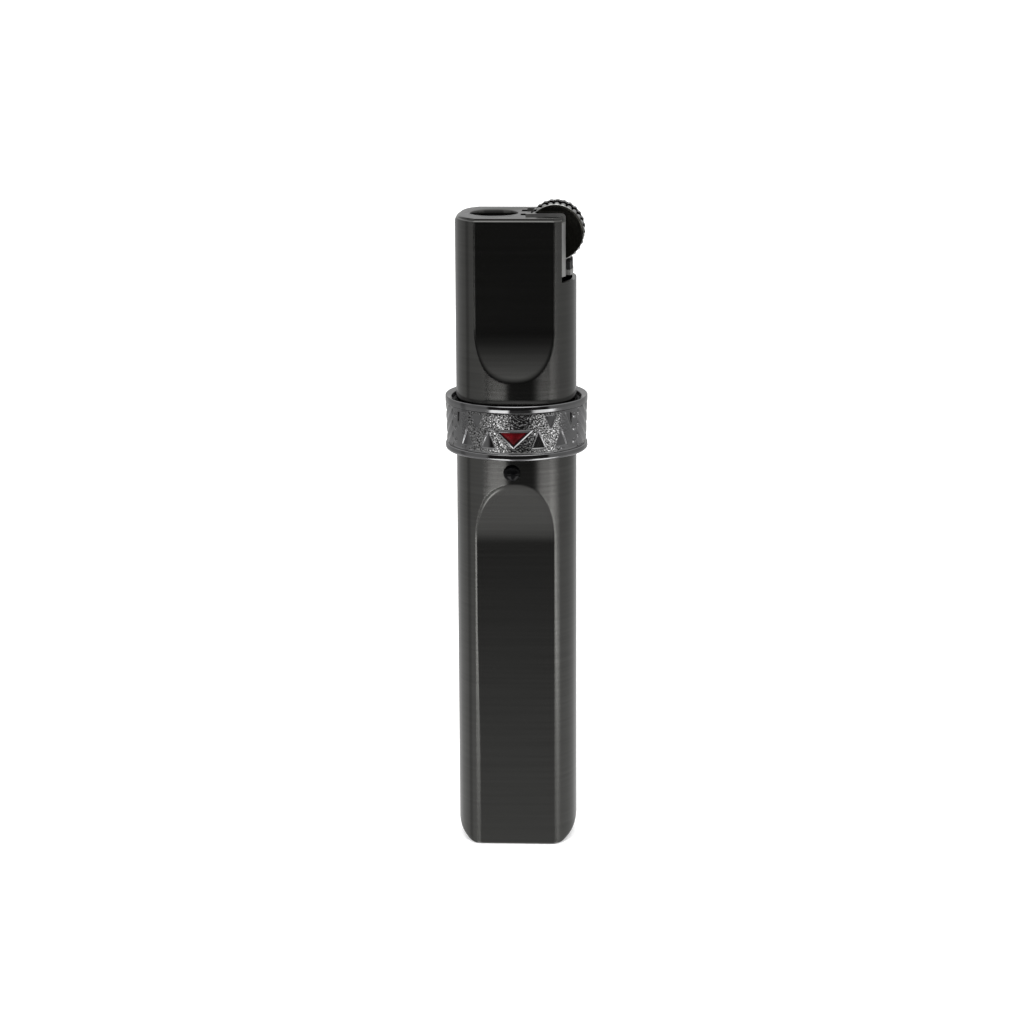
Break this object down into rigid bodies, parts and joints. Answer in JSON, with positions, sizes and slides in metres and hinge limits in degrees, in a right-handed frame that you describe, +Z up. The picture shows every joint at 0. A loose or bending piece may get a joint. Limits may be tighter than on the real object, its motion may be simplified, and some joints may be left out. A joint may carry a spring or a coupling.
{
  "type": "butane torch",
  "caption": "Slim oval stick torch lighter with a flint wheel at the top corner, a jet-flame mouth, flat facets front and back, and a decorated ring round its middle.",
  "frame": {"origin": "centre of the footprint, on the plane that the base stands on", "axes": "+Z up along the stick; -Y the front with the stud and the red inlay; +X towards the flint wheel"},
  "size_m": [0.0216, 0.0216, 0.0993],
  "materials": {
    "case_metal": "gunmetal plated, finely brushed",
    "ring_metal": "black chrome, part polished and part hammered",
    "wheel_steel": "dark blued steel, knurled",
    "frame_zinc": "satin grey plated zinc",
    "steel": "plain bright steel",
    "spring_steel": "spring wire and strip",
    "brass": "turned brass",
    "black_plastic": "black ribbed plastic",
    "tank_plastic": "milky moulded plastic",
    "rubber": "black rubber",
    "silicone": "clear-white silicone",
    "red_enamel": "deep red enamel",
    "gloss_black": "glossy black dome",
    "flint": "dull grey ferrocerium",
    "ceramic": "porous fired ceramic"
  },
  "bodies": {
    "casing": {"upper_case": "case_metal", "lower_case": "case_metal", "wheel_frame": "frame_zinc", "wheel_axle": "steel", "rocker_pin": "steel", "flint": "flint", "flint_tube": "brass", "flint_spring": "spring_steel", "flint_screw": "brass", "gas_tank": "tank_plastic", "tank_plug": "tank_plastic", "valve_body": "brass", "valve_gasket": "rubber", "valve_cap": "brass", "valve_spring": "spring_steel", "flow_filter": "ceramic", "gas_hose": "silicone", "jet_nozzle": "brass", "mixing_tube": "brass", "flame_disc": "ceramic", "windscreen": "steel", "refill_body": "brass", "refill_seal": "rubber", "refill_spring": "spring_steel", "adjuster_o_ring": "rubber", "stud_leaf_spring": "spring_steel"},
    "flint_wheel": {"wheel_disc_front": "wheel_steel", "wheel_disc_rear": "wheel_steel", "striker_wheel": "wheel_steel"},
    "button": {"gas_button": "frame_zinc", "button_pad": "black_plastic"},
    "rocker": {"valve_rocker": "steel"},
    "stem": {"valve_stem": "brass", "valve_seal": "rubber"},
    "refill": {"refill_stem": "brass"},
    "adjuster": {"flame_adjuster": "brass"},
    "sleeve": {"ring_sleeve": "rubber"},
    "ring": {"ring_band": "ring_metal", "ring_bezel": "ring_metal", "ring_inlay": "red_enamel"},
    "stud": {"stop_stud": "gloss_black"}
  },
  "joints": [
    {"name": "wheel_spin", "type": "hinge", "parent": "casing", "child": "flint_wheel", "pos_m": [0.006, 0, 0.09485], "axis": [0, 1, 0], "continuous": true},
    {"name": "button_press", "type": "slide", "parent": "casing", "child": "button", "axis": [0, 0, -1], "range_m": [0, 0.0006], "stiffness_N_per_m": 800, "springref_m": -0.0012},
    {"name": "rocker_tilt", "type": "hinge", "parent": "casing", "child": "rocker", "pos_m": [0.0012, 0, 0.07], "axis": [0, 1, 0], "range_deg": [0, 9.1]},
    {"name": "stem_lift", "type": "slide", "parent": "casing", "child": "stem", "axis": [0, 0, 1], "range_m": [0, 0.00072], "deforming": ["valve_spring", "gas_hose"]},
    {"name": "refill_press", "type": "slide", "parent": "casing", "child": "refill", "axis": [0, 0, 1], "range_m": [0, 0.0012], "stiffness_N_per_m": 600, "springref_m": -0.001, "deforming": ["refill_spring"]},
    {"name": "flame_adjust", "type": "hinge", "parent": "casing", "child": "adjuster", "pos_m": [-0.00325, 0, 0.0006], "axis": [0, 0, 1], "range_deg": [-170, 170]},
    {"name": "ring_slide", "type": "slide", "parent": "casing", "child": "sleeve", "axis": [0, 0, 1], "range_m": [-0.0009, 0.0212]},
    {"name": "ring_spin", "type": "hinge", "parent": "sleeve", "child": "ring", "pos_m": [0, 0, 0.066], "axis": [0, 0, 1], "continuous": true},
    {"name": "stud_press", "type": "slide", "parent": "casing", "child": "stud", "axis": [0, 1, 0], "range_m": [0, 0.0008], "stiffness_N_per_m": 500, "springref_m": -0.001, "deforming": ["stud_leaf_spring"]}
  ],
  "couplings": [
    {"joint": "rocker_tilt", "follows": "button_press", "rad_per_m": 262},
    {"joint": "stem_lift", "follows": "button_press", "ratio": 1.1667}
  ]
}
